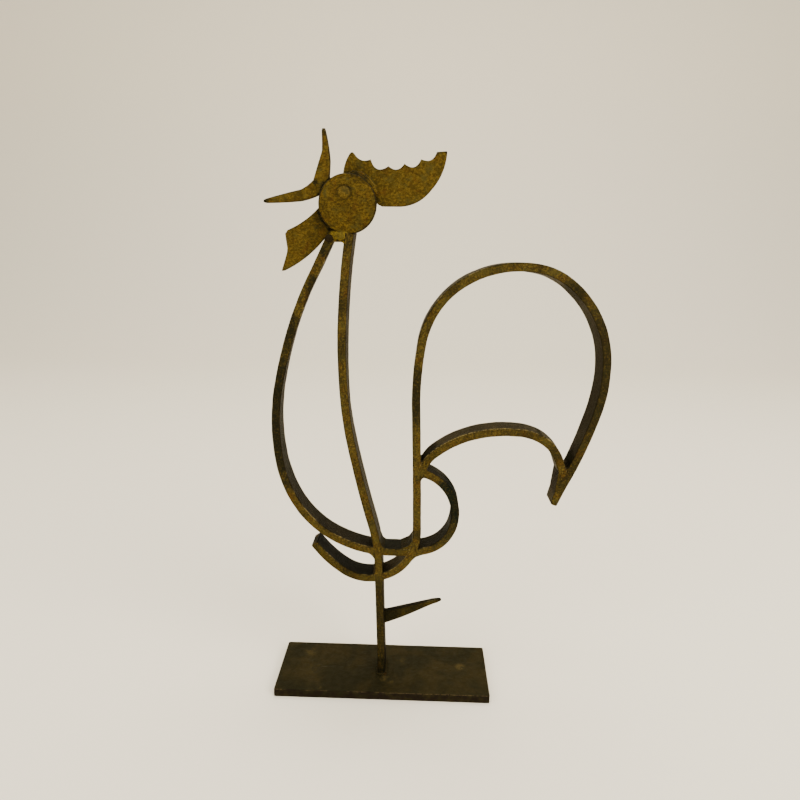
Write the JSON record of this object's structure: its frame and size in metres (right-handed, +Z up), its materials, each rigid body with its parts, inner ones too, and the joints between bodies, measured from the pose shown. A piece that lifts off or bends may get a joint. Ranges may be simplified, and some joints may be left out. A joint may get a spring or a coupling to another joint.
{
  "type": "scrap metal rooster sculpture",
  "caption": "Crowing rooster bent from flat steel bars on edge, with a disc head, on a rectangular base plate.",
  "frame": {"origin": "middle of the base plate's underside, on the surface it stands on", "axes": "+Z up, longest; -Y towards the viewer, across the bars' depth, +Y shortest; -X the way the head looks, +X towards the tail"},
  "size_m": [0.2154, 0.052, 0.3711],
  "materials": {
    "base_steel": "dark brown painted steel plate, rusty and rubbed at the edges",
    "bar_gilt": "mottled ochre gilt paint with dark specks on flat steel bar",
    "bar_dark_gilt": "gilt paint darkened to olive on flat steel bar",
    "head_gilt": "mottled ochre gilt paint on cut steel plate",
    "eye_gilt": "worn gilt paint on a pressed eye",
    "weld_gilt": "gilt paint over weld beads"
  },
  "bodies": {
    "root": {"base_plate": "base_steel", "neck_and_leg_bar": "bar_gilt", "belly_link": "bar_gilt", "thigh_bar": "bar_gilt", "tail_bar": "bar_gilt", "inner_tail_arc": "bar_gilt", "spur": "bar_gilt", "breast_bar": "bar_dark_gilt", "rump_curl": "bar_dark_gilt", "head_disc": "head_gilt", "comb": "head_gilt", "wattle": "head_gilt", "upper_beak": "head_gilt", "lower_beak": "head_gilt", "eye": "eye_gilt", "throat_weld": "weld_gilt", "weld_breast_to_leg": "weld_gilt", "weld_belly_to_leg": "weld_gilt", "weld_thigh_to_leg": "weld_gilt", "weld_haunch_to_leg": "weld_gilt", "weld_belly_to_tail": "weld_gilt", "weld_curl_to_tail": "weld_gilt", "weld_curl_to_post": "weld_gilt", "weld_arc_to_post": "weld_gilt", "weld_arc_to_limb": "weld_gilt", "weld_foot_left": "weld_gilt", "weld_foot_right": "weld_gilt"}
  },
  "joints": []
}
